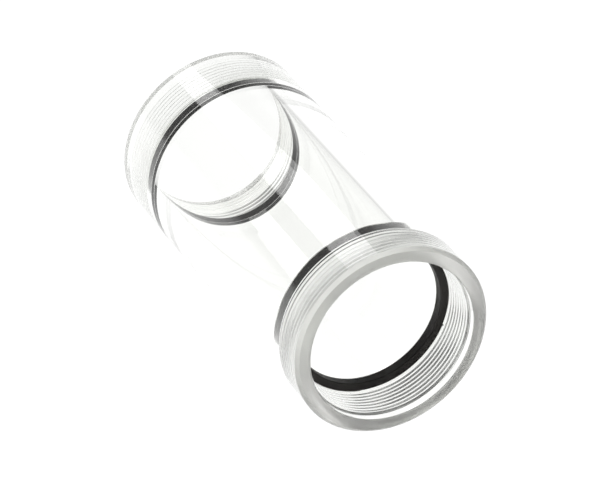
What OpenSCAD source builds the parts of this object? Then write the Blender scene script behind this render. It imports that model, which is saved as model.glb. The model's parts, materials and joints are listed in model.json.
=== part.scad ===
// Threaded sight glass: a clear plastic tube with an internal thread and a flat gasket at each end.
// Millimetres. The origin is the middle of the tube on the bore's axis, +X runs along the bore to
// the outlet end, and +Z is up. Depths are measured inwards from the end face that they belong to.

/* [Tube] */
// Outside diameter
tube_od = 63.5; // [60:0.5:76]
// Length over the two end faces
tube_length = 130.175; // [60:0.025:300]
// Diameter of the plain bore between the two shoulders
bore_d = 47.625; // [20:0.025:51]
// Size of the 45 degree chamfer around the outside of each end face
edge_chamfer = 1.1; // [0.2:0.1:1.8]

/* [Threaded ends] */
// Major diameter of the internal thread, across the bottoms of its grooves
thread_major_d = 53.975; // [53.75:0.025:55]
// Distance from one turn of the thread to the next
thread_pitch = 1.5875; // [1.4:0.0125:1.65]
// Number of full thread grooves at each end
thread_grooves = 7; // [1:1:7]
// Width of each groove where it opens in the wall
groove_mouth = 0.5; // [0.3:0.05:0.8]
// Width of each groove at its bottom
groove_bottom = 0.2; // [0.05:0.05:0.3]
// Depth of the plain recess inside each mouth
recess_depth = 2.2; // [0.5:0.1:3]
// Depth of the first groove's middle
first_groove_depth = 4.29; // [4.1:0.01:4.4]

/* [Gasket seats] */
// Depth of the shoulder that the gasket is pressed against
shoulder_depth = 19.05; // [18.8:0.05:25]
// Diameter of the plain pocket between the thread and the shoulder
pocket_d = 53.9; // [53.8:0.1:55]

/* [Gaskets] */
// Outside diameter, a little less than the pocket's, so that it is squeezed in past the thread's crests
gasket_od = 53.6; // [51.5:0.1:53.7]
// Inside diameter, the same as the bore so that the flow never meets an edge
gasket_id = 47.625; // [46:0.025:50]
// Thickness along the bore
gasket_thickness = 3.175; // [1.5:0.025:3.2]

/* [Hidden] */
$fn = 128;
// Radial depth of a unified thread, as a share of its pitch
thread_depth_share = 0.5413;
tube_r = tube_od / 2;
half_length = tube_length / 2;
bore_r = bore_d / 2;
pocket_r = pocket_d / 2;
major_r = thread_major_d / 2;
minor_r = major_r - thread_depth_share * thread_pitch;
// A 45 degree cone leads from the recess down to the thread's crests
lead_in_end = recess_depth + major_r - minor_r;
// The pocket begins where the next groove would have its middle
pocket_start = first_groove_depth + thread_grooves * thread_pitch;
clear_plastic = [0.88, 0.92, 0.88, 0.35];
black_rubber = [0.09, 0.08, 0.08];

// One groove as [radius, depth] points, walked inwards along the wall
function groove(depth) = [
    [minor_r, depth - groove_mouth / 2],
    [major_r, depth - groove_bottom / 2],
    [major_r, depth + groove_bottom / 2],
    [minor_r, depth + groove_mouth / 2]
];

// Half of the wall's outline as [radius, depth] points, from the chamfer round the face to the bore
end_outline = concat(
    [
        [tube_r, edge_chamfer],
        [tube_r - edge_chamfer, 0],
        [major_r, 0],
        [major_r, recess_depth],
        [minor_r, lead_in_end]
    ],
    [for (i = [0 : thread_grooves - 1]) each groove(first_groove_depth + i * thread_pitch)],
    [
        [minor_r, pocket_start],
        [pocket_r, pocket_start],
        [pocket_r, shoulder_depth],
        [bore_r, shoulder_depth]
    ]
);

// The whole outline: one end as it is, then the other end in reverse order
tube_outline = concat(
    [for (p = end_outline) [p[0], half_length - p[1]]],
    [for (i = [len(end_outline) - 1 : -1 : 0]) [end_outline[i][0], end_outline[i][1] - half_length]]
);

// A shape that is turned about +Z, laid along +X
module along_bore() {
    rotate([0, 90, 0])
        children();
}

module sight_tube() {
    color(clear_plastic)
        along_bore()
            rotate_extrude()
                polygon(tube_outline);
}

// A flat flexible ring that lies against the shoulder of the +X end
module gasket() {
    color(black_rubber)
        translate([half_length - shoulder_depth, 0, 0])
            along_bore()
                rotate_extrude()
                    translate([gasket_id / 2, 0])
                        square([(gasket_od - gasket_id) / 2, gasket_thickness]);
}

module inlet_gasket() {
    mirror([1, 0, 0])
        gasket();
}

module outlet_gasket() {
    gasket();
}

sight_tube();
inlet_gasket();
outlet_gasket();
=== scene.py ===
import json
import math

import bmesh
import bpy
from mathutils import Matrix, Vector


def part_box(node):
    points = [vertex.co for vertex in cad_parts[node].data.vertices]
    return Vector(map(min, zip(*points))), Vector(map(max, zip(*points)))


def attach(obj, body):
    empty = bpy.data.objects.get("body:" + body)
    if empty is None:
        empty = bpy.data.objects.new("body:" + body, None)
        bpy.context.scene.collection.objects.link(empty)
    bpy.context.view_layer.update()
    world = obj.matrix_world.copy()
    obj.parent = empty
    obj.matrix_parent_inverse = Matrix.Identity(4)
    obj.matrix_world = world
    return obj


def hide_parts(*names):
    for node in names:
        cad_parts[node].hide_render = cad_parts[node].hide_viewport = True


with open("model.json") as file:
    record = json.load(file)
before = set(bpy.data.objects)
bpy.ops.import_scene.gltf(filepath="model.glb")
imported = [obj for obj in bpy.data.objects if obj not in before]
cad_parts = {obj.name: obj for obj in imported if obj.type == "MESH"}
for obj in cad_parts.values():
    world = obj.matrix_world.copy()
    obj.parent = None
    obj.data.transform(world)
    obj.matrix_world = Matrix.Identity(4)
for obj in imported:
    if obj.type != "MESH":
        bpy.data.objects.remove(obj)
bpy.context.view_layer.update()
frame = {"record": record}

# A sight glass on a white sweep: a clear tube that is threaded inside both ends, with a flat black
# rubber gasket behind each thread. The tube lies along X. Depths are measured inwards from the end
# face that they belong to, and sign is +1 for the outlet end and -1 for the inlet end.

MM = 0.001
INCH = 0.0254

# ---- Sizes that the frame gives ----
tube_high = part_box("sight_tube")[1]
gasket_low, gasket_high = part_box("outlet_gasket")
mounts = {mount["name"]: mount for mount in frame["record"]["mounts"]}
TUBE_R = tube_high.z
HALF_LENGTH = tube_high.x
CREST_R = mounts["outlet_thread"]["dims"]["r_mm"] * MM
GASKET_R = gasket_high.z
GASKET_THICKNESS = gasket_high.x - gasket_low.x
SHOULDER_DEPTH = HALF_LENGTH - gasket_low.x

# ---- Sizes of the tube's inside ----
PITCH = INCH / 16
THREAD_DEPTH_SHARE = 0.5413
ROOT_R = CREST_R + THREAD_DEPTH_SHARE * PITCH
BORE_R = 1.875 * INCH / 2
POCKET_R = 53.9 * MM / 2
EDGE_CHAMFER = 1.1 * MM
RECESS_DEPTH = 2.2 * MM
FIRST_GROOVE_DEPTH = 4.29 * MM
FULL_GROOVES = 7
POCKET_START = FIRST_GROOVE_DEPTH + FULL_GROOVES * PITCH
# Share of a pitch from a groove's middle to the edge of its flat root, and to the edge of its mouth
ROOT_SHARE = 1 / 16
MOUTH_SHARE = 3 / 8
FLANK_ROWS = 3
# Pitches that each row has before the first groove, and to spare past the pocket's start
LEAD_PITCHES = 3
SPARE_PITCHES = 2

# ---- Fine edges, contacts and gaps ----
FACE_BREAK = 0.12 * MM
GASKET_EDGE = 0.2 * MM
GASKET_SQUEEZE = 0.01 * MM
FLOOR_GAP = 0.2 * MM
SEGMENTS = 240
ANGLES = [2 * math.pi * k / SEGMENTS for k in range(SEGMENTS)]
SHARP_ANGLE = math.radians(20)
MERGE_DISTANCE = 0.1e-6

# ---- The tube's material slots ----
POLISHED = 0
TURNED = 1
THREADED = 2


def along(sign, depth):
    """X of a depth inside an end."""
    return sign * (HALF_LENGTH - depth)


def ring(bm, radius, x):
    """A circle of vertices around the bore's axis."""
    return [bm.verts.new((x, radius * math.cos(a), radius * math.sin(a))) for a in ANGLES]


def band(bm, first, second, slot=0):
    """The faces between two circles."""
    for k in range(SEGMENTS):
        n = (k + 1) % SEGMENTS
        bm.faces.new((first[k], first[n], second[n], second[k])).material_index = slot


def link(name, bm):
    """Turns a finished bmesh into an object in the scene."""
    bmesh.ops.recalc_face_normals(bm, faces=bm.faces)
    mesh = bpy.data.meshes.new(name)
    bm.to_mesh(mesh)
    bm.free()
    piece = bpy.data.objects.new(name, mesh)
    bpy.context.scene.collection.objects.link(piece)
    return piece


def thread_profile():
    """(distance from a groove's middle, radius) through one pitch of a 60 degree thread."""
    flank = []
    for i in range(FLANK_ROWS + 1):
        share = i / FLANK_ROWS
        offset = PITCH * (ROOT_SHARE + share * (MOUTH_SHARE - ROOT_SHARE))
        flank.append((offset, ROOT_R - share * (ROOT_R - CREST_R)))
    rising = [(PITCH - offset, radius) for offset, radius in reversed(flank)]
    return flank + rising


def lead_in_radius(depth):
    """Radius of the 45 degree cone between the recess and the thread's crests."""
    return ROOT_R - min(max(depth - RECESS_DEPTH, 0.0), ROOT_R - CREST_R)


def thread_rows(bm, sign):
    """Rows of vertices, one for each segment, that follow the helix from the recess to the pocket.

    The angle turns with the end, so the threads at both ends have the same hand, which is left.
    """
    profile = thread_profile()
    first = FIRST_GROOVE_DEPTH - LEAD_PITCHES * PITCH
    pitches = math.ceil((POCKET_START - first) / PITCH) + SPARE_PITCHES
    rows = []
    for k, angle in enumerate(ANGLES):
        y = math.cos(angle * sign)
        z = math.sin(angle * sign)
        row = []
        for i in range(pitches):
            for offset, radius in profile:
                helix = first + (i + k / SEGMENTS) * PITCH + offset
                depth = min(max(helix, RECESS_DEPTH), POCKET_START)
                wall = radius if depth == helix else CREST_R
                wall = max(wall, lead_in_radius(depth))
                row.append(bm.verts.new((along(sign, depth), wall * y, wall * z)))
        rows.append(row)
    return rows, len(profile)


def thread_faces(bm, rows, per_pitch):
    """Faces between neighbouring rows; the last row meets the first one pitch further along."""
    for k, row in enumerate(rows):
        following = rows[(k + 1) % SEGMENTS]
        shift = per_pitch if k == SEGMENTS - 1 else 0
        for j in range(len(row) - 1 - shift):
            corners = (row[j], row[j + 1], following[j + 1 + shift], following[j + shift])
            bm.faces.new(corners).material_index = THREADED


def tube_end(bm, sign):
    """One end of the wall, from the chamfer to the shoulder. Returns its two open circles."""
    chamfer_start = ring(bm, TUBE_R, along(sign, EDGE_CHAMFER))
    chamfer_end = ring(bm, TUBE_R - EDGE_CHAMFER, along(sign, 0))
    face_inside = ring(bm, ROOT_R + FACE_BREAK, along(sign, 0))
    mouth = ring(bm, ROOT_R, along(sign, FACE_BREAK))
    rows, per_pitch = thread_rows(bm, sign)
    # The inlet end's rows run the other way round than the circles do
    order = [(sign * k) % SEGMENTS for k in range(SEGMENTS)]
    thread_start = [rows[k][0] for k in order]
    thread_end = [rows[k][-1] for k in order]
    pocket_start = ring(bm, POCKET_R, along(sign, POCKET_START))
    pocket_end = ring(bm, POCKET_R, along(sign, SHOULDER_DEPTH))
    bore_start = ring(bm, BORE_R, along(sign, SHOULDER_DEPTH))
    band(bm, chamfer_start, chamfer_end, TURNED)
    band(bm, chamfer_end, face_inside, TURNED)
    band(bm, face_inside, mouth, TURNED)
    band(bm, mouth, thread_start, POLISHED)
    thread_faces(bm, rows, per_pitch)
    band(bm, thread_end, pocket_start, POLISHED)
    band(bm, pocket_start, pocket_end, POLISHED)
    band(bm, pocket_end, bore_start, THREADED)
    return chamfer_start, bore_start


def build_tube():
    """The whole wall as one closed mesh."""
    bm = bmesh.new()
    outlet_outside, outlet_bore = tube_end(bm, 1)
    inlet_outside, inlet_bore = tube_end(bm, -1)
    band(bm, outlet_outside, inlet_outside, POLISHED)
    band(bm, outlet_bore, inlet_bore, POLISHED)
    bmesh.ops.remove_doubles(bm, verts=bm.verts, dist=MERGE_DISTANCE)
    bmesh.ops.dissolve_degenerate(bm, edges=bm.edges, dist=MERGE_DISTANCE)
    tube = link("sight_tube_clear", bm)
    tube.data.shade_smooth()
    tube.data.set_sharp_from_angle(angle=SHARP_ANGLE)
    return tube


def build_gasket(name, sign):
    """A flat ring with broken edges, pressed onto its shoulder so that no air is left between."""
    bm = bmesh.new()
    back = SHOULDER_DEPTH + GASKET_SQUEEZE
    front = SHOULDER_DEPTH - GASKET_THICKNESS
    outline = [
        (BORE_R, front + GASKET_EDGE),
        (BORE_R + GASKET_EDGE, front),
        (GASKET_R - GASKET_EDGE, front),
        (GASKET_R, front + GASKET_EDGE),
        (GASKET_R, back - GASKET_EDGE),
        (GASKET_R - GASKET_EDGE, back),
        (BORE_R + GASKET_EDGE, back),
        (BORE_R, back - GASKET_EDGE),
    ]
    rings = [ring(bm, radius, along(sign, depth)) for radius, depth in outline]
    for first, second in zip(rings, rings[1:] + rings[:1]):
        band(bm, first, second)
    gasket = link(name, bm)
    gasket.data.shade_smooth()
    gasket.data.set_sharp_from_angle(angle=SHARP_ANGLE)
    return gasket


# ---- Materials ----
PLASTIC_IOR = 1.49
BUMP_HEIGHT = 0.02 * MM
# Masks for turning marks: rings on a face, and rings round the bore
ACROSS = (0, 1, 1)
ALONG = (1, 0, 0)
MARK_DETAIL = 2.0
GRAIN_DETAIL = 3.0
# Each surface has a colour, its lowest and highest roughness, and the size of its marks or grain
POLISHED_COLOUR = (0.995, 1.0, 0.985)
POLISHED_ROUGHNESS = (0.0, 0.02)
POLISHED_HAZE = 6 * MM
TURNED_COLOUR = (1.0, 1.0, 0.965)
TURNED_ROUGHNESS = (0.4, 0.6)
TURNED_MARKS = 0.25 * MM
TURNED_BUMP = 0.25
THREAD_COLOUR = (0.96, 0.97, 0.945)
THREAD_ROUGHNESS = (0.22, 0.34)
THREAD_MARKS = 0.1 * MM
RUBBER_COLOUR = (0.011, 0.008, 0.006)
RUBBER_ROUGHNESS = (0.45, 0.65)
RUBBER_GRAIN = 0.4 * MM
RUBBER_BUMP = 0.3


def new_material(name):
    """A material with its node tree and its Principled shader."""
    material = bpy.data.materials.new(name)
    material.use_nodes = True
    tree = material.node_tree
    return material, tree, tree.nodes["Principled BSDF"]


def node(tree, kind, **values):
    """A node with its properties and unlinked inputs set."""
    made = tree.nodes.new(kind)
    for key, value in values.items():
        if hasattr(made, key):
            setattr(made, key, value)
        else:
            made.inputs[key.replace("_", " ")].default_value = value
    return made


def add_bump(tree, shader, height, strength):
    """Drives the shader's normal with a 0 to 1 value."""
    bump = node(tree, "ShaderNodeBump", Strength=strength, Distance=BUMP_HEIGHT)
    tree.links.new(height, bump.inputs["Height"])
    tree.links.new(bump.outputs["Normal"], shader.inputs["Normal"])


def add_roughness(tree, shader, value, limits):
    """Drives the shader's roughness between two limits with a 0 to 1 value."""
    low, high = limits
    spread = node(tree, "ShaderNodeMapRange", To_Min=low, To_Max=high)
    tree.links.new(value, spread.inputs["Value"])
    tree.links.new(spread.outputs["Result"], shader.inputs["Roughness"])


def turning_marks(tree, axes, spacing):
    """Noise that changes only with the distance along the given axes, as a lathe's tool leaves it."""
    place = node(tree, "ShaderNodeTexCoord")
    flatten = node(tree, "ShaderNodeVectorMath", operation="MULTIPLY")
    flatten.inputs[1].default_value = axes
    distance = node(tree, "ShaderNodeVectorMath", operation="LENGTH")
    noise = node(
        tree, "ShaderNodeTexNoise", noise_dimensions="1D", Scale=1 / spacing, Detail=MARK_DETAIL,
    )
    tree.links.new(place.outputs["Object"], flatten.inputs[0])
    tree.links.new(flatten.outputs["Vector"], distance.inputs[0])
    tree.links.new(distance.outputs["Value"], noise.inputs["W"])
    return noise.outputs["Fac"]


def grain(tree, size):
    """Noise without a direction, with lumps of about the given size."""
    place = node(tree, "ShaderNodeTexCoord")
    noise = node(tree, "ShaderNodeTexNoise", Scale=1 / size, Detail=GRAIN_DETAIL)
    tree.links.new(place.outputs["Object"], noise.inputs["Vector"])
    return noise.outputs["Fac"]


def plastic(name, colour):
    """Clear acrylic. Each kind of surface gives it a roughness of its own."""
    material, tree, shader = new_material(name)
    shader.inputs["Base Color"].default_value = (*colour, 1)
    shader.inputs["IOR"].default_value = PLASTIC_IOR
    shader.inputs["Transmission Weight"].default_value = 1.0
    return material, tree, shader


def polished_plastic():
    """The outside and the bore: polished, with a trace of uneven haze."""
    material, tree, shader = plastic("clear_polished", POLISHED_COLOUR)
    add_roughness(tree, shader, grain(tree, POLISHED_HAZE), POLISHED_ROUGHNESS)
    return material


def turned_plastic():
    """The end faces and chamfers: matte, with fine rings from the lathe."""
    material, tree, shader = plastic("clear_turned", TURNED_COLOUR)
    marks = turning_marks(tree, ACROSS, TURNED_MARKS)
    add_roughness(tree, shader, marks, TURNED_ROUGHNESS)
    add_bump(tree, shader, marks, TURNED_BUMP)
    return material


def threaded_plastic():
    """The thread, its lead-in and the shoulder: a satin cut surface, with the tool's fine lines."""
    material, tree, shader = plastic("clear_thread", THREAD_COLOUR)
    marks = turning_marks(tree, ALONG, THREAD_MARKS)
    add_roughness(tree, shader, marks, THREAD_ROUGHNESS)
    return material


def black_rubber():
    """Moulded rubber: black with a faint brown sheen and a fine grain."""
    material, tree, shader = new_material("black_rubber")
    shader.inputs["Base Color"].default_value = (*RUBBER_COLOUR, 1)
    lumps = grain(tree, RUBBER_GRAIN)
    add_roughness(tree, shader, lumps, RUBBER_ROUGHNESS)
    add_bump(tree, shader, lumps, RUBBER_BUMP)
    return material


# ---- Camera ----
VIEW_AZIMUTH = math.radians(65.1)
VIEW_ELEVATION = math.radians(31.8)
FOCAL_LENGTH = 291.8
SENSOR_WIDTH = 36.0
FAR_CLIP = 100.0
# How far the camera is from the near end, in tube radii: back, to the right and up, in its own view
CAMERA_BACK = 45.674
CAMERA_RIGHT = -0.856
CAMERA_UP = 0.934
to_camera = Vector((
    math.sin(VIEW_AZIMUTH) * math.cos(VIEW_ELEVATION),
    -math.cos(VIEW_AZIMUTH) * math.cos(VIEW_ELEVATION),
    math.sin(VIEW_ELEVATION),
))


def add_camera():
    """A long lens, looking down the tube from the outlet end."""
    right = Vector((math.cos(VIEW_AZIMUTH), math.sin(VIEW_AZIMUTH), 0))
    up = to_camera.cross(right)
    near_end = Vector((HALF_LENGTH - EDGE_CHAMFER, 0, 0))
    data = bpy.data.cameras.new("camera")
    data.lens = FOCAL_LENGTH
    data.sensor_width = SENSOR_WIDTH
    data.clip_end = FAR_CLIP
    camera = bpy.data.objects.new("camera", data)
    bpy.context.scene.collection.objects.link(camera)
    offset = CAMERA_BACK * to_camera + CAMERA_RIGHT * right + CAMERA_UP * up
    camera.location = near_end + TUBE_R * offset
    camera.rotation_mode = "QUATERNION"
    camera.rotation_quaternion = (-to_camera).to_track_quat("-Z", "Y")
    bpy.context.scene.camera = camera


# ---- Studio ----
FLOOR_RADIUS = 6.0
FLOOR_SEGMENTS = 96
FLOOR_LIGHT = 1.1
HORIZON_LIGHT = 1.1
CEILING_LIGHT = 0.3
CAMERA_SIDE_SHARE = 0.35
BACKDROP_LIGHT = 0.75
BACKDROP_AZIMUTH = math.radians(150)
# Each area of the world fades in over two angles from its middle
CEILING_FADE = (math.radians(86), math.radians(81))
CAMERA_SIDE_FADE = (math.radians(60), math.radians(30))
BACKDROP_FADE = (math.radians(40), math.radians(20))
# Softboxes, in degrees: azimuth from +X, elevation, and the angles that the width and height span
SOFTBOXES = {
    "softbox_low": (187.0, 38.0, 14.3, 13.0),
    "softbox_high": (171.5, 41.0, 10.3, 7.4),
}
SOFTBOX_DISTANCE = 3.0
SOFTBOX_RADIANCE = 2.5
# Bounces for rays that are caught inside the clear wall
CLEAR_BOUNCES = 48
DIFFUSE_BOUNCES = 6


def add_floor():
    """A plain white disc that gives its own light, as a lit sweep does."""
    bm = bmesh.new()
    bmesh.ops.create_circle(bm, cap_ends=True, radius=FLOOR_RADIUS, segments=FLOOR_SEGMENTS)
    bmesh.ops.translate(bm, verts=bm.verts, vec=(0, 0, -TUBE_R - FLOOR_GAP))
    floor = link("floor", bm)
    material, tree, shader = new_material("white_sweep")
    shader.inputs["Base Color"].default_value = (0, 0, 0, 1)
    shader.inputs["Specular IOR Level"].default_value = 0.0
    shader.inputs["Emission Color"].default_value = (1, 1, 1, 1)
    shader.inputs["Emission Strength"].default_value = FLOOR_LIGHT
    floor.data.materials.append(material)


def world_area(tree, place, middle, fade, outside, inside):
    """A value that goes smoothly from one to another inside a cone around a direction."""
    edge, core = fade
    across = node(tree, "ShaderNodeVectorMath", operation="DOT_PRODUCT")
    across.inputs[1].default_value = middle
    tree.links.new(place.outputs["Generated"], across.inputs[0])
    area = node(
        tree, "ShaderNodeMapRange", interpolation_type="SMOOTHSTEP",
        From_Min=math.cos(edge), From_Max=math.cos(core),
        To_Min=outside, To_Max=inside,
    )
    tree.links.new(across.outputs["Value"], area.inputs["Value"])
    return area.outputs["Result"]


def combine(tree, operation, first, second):
    """Two values put together by a Math node."""
    result = node(tree, "ShaderNodeMath", operation=operation)
    tree.links.new(first, result.inputs[0])
    tree.links.new(second, result.inputs[1])
    return result.outputs["Value"]


def add_world():
    """White walls, a dimmer ceiling, a backdrop past the inlet end, and a darker camera side."""
    world = bpy.data.worlds.new("studio")
    bpy.context.scene.world = world
    world.use_nodes = True
    tree = world.node_tree
    background = tree.nodes["Background"]
    background.inputs["Color"].default_value = (1, 1, 1, 1)
    place = node(tree, "ShaderNodeTexCoord")
    beyond = (math.cos(BACKDROP_AZIMUTH), math.sin(BACKDROP_AZIMUTH), 0)
    ceiling = world_area(tree, place, (0, 0, 1), CEILING_FADE, HORIZON_LIGHT, CEILING_LIGHT)
    backdrop = world_area(tree, place, beyond, BACKDROP_FADE, 0.0, BACKDROP_LIGHT)
    shade = world_area(tree, place, to_camera, CAMERA_SIDE_FADE, 1.0, CAMERA_SIDE_SHARE)
    brighter = combine(tree, "MAXIMUM", ceiling, backdrop)
    light = combine(tree, "MULTIPLY", brighter, shade)
    tree.links.new(light, background.inputs["Strength"])


def add_softbox(name, azimuth, elevation, width, height):
    """A bright panel above the inlet end, which the tube's outside mirrors as a streak."""
    azimuth = math.radians(azimuth)
    elevation = math.radians(elevation)
    direction = Vector((
        math.cos(azimuth) * math.cos(elevation),
        math.sin(azimuth) * math.cos(elevation),
        math.sin(elevation),
    ))
    data = bpy.data.lights.new(name, "AREA")
    data.shape = "RECTANGLE"
    data.size = 2 * SOFTBOX_DISTANCE * math.tan(math.radians(width / 2))
    data.size_y = 2 * SOFTBOX_DISTANCE * math.tan(math.radians(height / 2))
    data.energy = SOFTBOX_RADIANCE * math.pi * data.size * data.size_y
    softbox = bpy.data.objects.new(name, data)
    bpy.context.scene.collection.objects.link(softbox)
    softbox.location = SOFTBOX_DISTANCE * direction
    softbox.rotation_mode = "QUATERNION"
    softbox.rotation_quaternion = (-direction).to_track_quat("-Z", "Y")


def set_light():
    """Enough bounces for the clear wall, and colours shown as they are."""
    cycles = bpy.context.scene.cycles
    cycles.max_bounces = CLEAR_BOUNCES
    cycles.glossy_bounces = CLEAR_BOUNCES
    cycles.transmission_bounces = CLEAR_BOUNCES
    cycles.diffuse_bounces = DIFFUSE_BOUNCES
    bpy.context.scene.view_settings.view_transform = "Standard"


add_camera()
add_floor()
add_world()
for name, placing in SOFTBOXES.items():
    add_softbox(name, *placing)
set_light()

tube = build_tube()
for material in (polished_plastic(), turned_plastic(), threaded_plastic()):
    tube.data.materials.append(material)
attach(tube, "tube")
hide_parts("sight_tube")

rubber = black_rubber()
for side, sign in (("outlet", 1), ("inlet", -1)):
    gasket = build_gasket(side + "_gasket_ring", sign)
    gasket.data.materials.append(rubber)
    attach(gasket, side + "_gasket")
    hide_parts(side + "_gasket")
